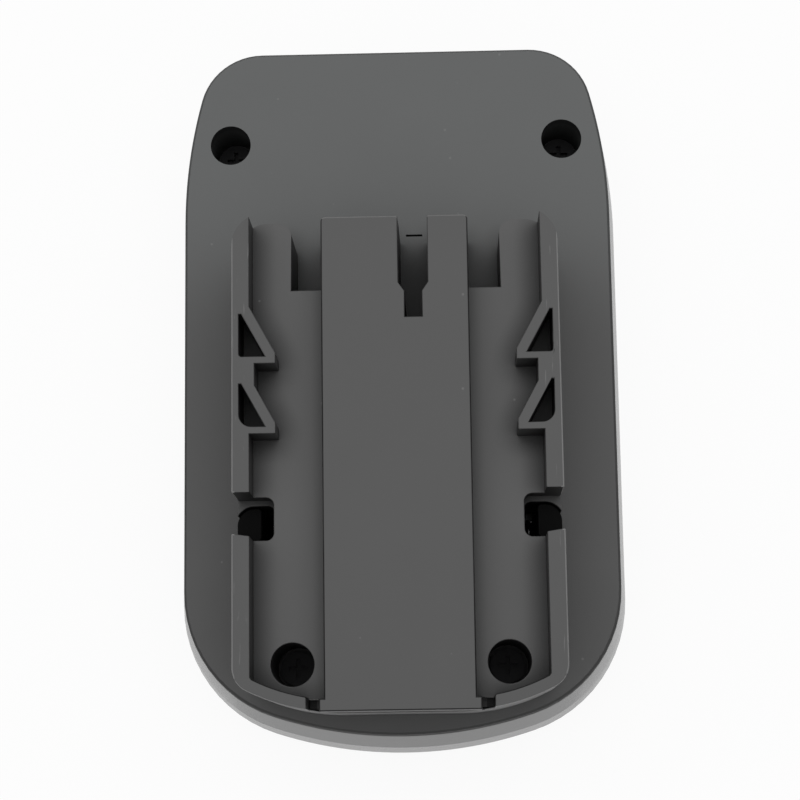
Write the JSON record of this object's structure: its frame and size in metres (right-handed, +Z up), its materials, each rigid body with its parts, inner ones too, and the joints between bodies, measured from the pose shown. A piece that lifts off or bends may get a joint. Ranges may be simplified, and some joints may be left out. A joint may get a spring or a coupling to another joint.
{
  "type": "tool battery adapter",
  "caption": "Slide-on battery adapter: shield-shaped plate with a raised, toothed shoe and centre tongue, sprung side latches, and a flared lower shell with a battery slide.",
  "frame": {"origin": "middle of the footprint, on the floor", "axes": "+Z up out of the tool side, +Y the way the shoe slides into the tool, +X to the right seen from above"},
  "size_m": [0.0848, 0.1368, 0.0503],
  "materials": {
    "shell": "fine satin moulding",
    "latch": "smooth black",
    "spring_steel": "drawn wire",
    "screw_steel": "dull zinc",
    "contact_metal": "bright",
    "board": "solder mask",
    "chip": "moulded",
    "capacitor": "sleeve",
    "fuse": "bare",
    "red_lead": "soft",
    "black_lead": "soft",
    "yellow_lead": "soft"
  },
  "bodies": {
    "housing": {"tool_side_shell": "shell", "battery_side_shell": "shell", "contact_tongue": "shell", "left_latch_spring": "spring_steel", "right_latch_spring": "spring_steel", "case_screws": "screw_steel", "tongue_screws": "screw_steel", "positive_contact": "contact_metal", "negative_contact": "contact_metal", "signal_contact": "contact_metal", "circuit_board": "board", "power_transistor": "chip", "control_chip": "chip", "smoothing_capacitor": "capacitor", "fuse": "fuse", "board_screws": "screw_steel", "terminal_block": "latch", "block_screws": "screw_steel", "positive_blade": "contact_metal", "negative_blade": "contact_metal", "signal_blades": "contact_metal", "positive_lead": "red_lead", "negative_lead": "black_lead", "signal_lead": "yellow_lead"},
    "left_latch_body": {"left_latch": "latch"},
    "right_latch_body": {"right_latch": "latch"}
  },
  "joints": [
    {"name": "left_latch_slide", "type": "slide", "parent": "housing", "child": "left_latch_body", "axis": [1, 0, 0], "range_m": [0, 0.0022], "stiffness_N_per_m": 800, "springref_m": -0.0025, "deforming": ["left_latch_spring"]},
    {"name": "right_latch_slide", "type": "slide", "parent": "housing", "child": "right_latch_body", "axis": [-1, 0, 0], "range_m": [0, 0.0022], "stiffness_N_per_m": 800, "springref_m": -0.0025, "deforming": ["right_latch_spring"]}
  ]
}
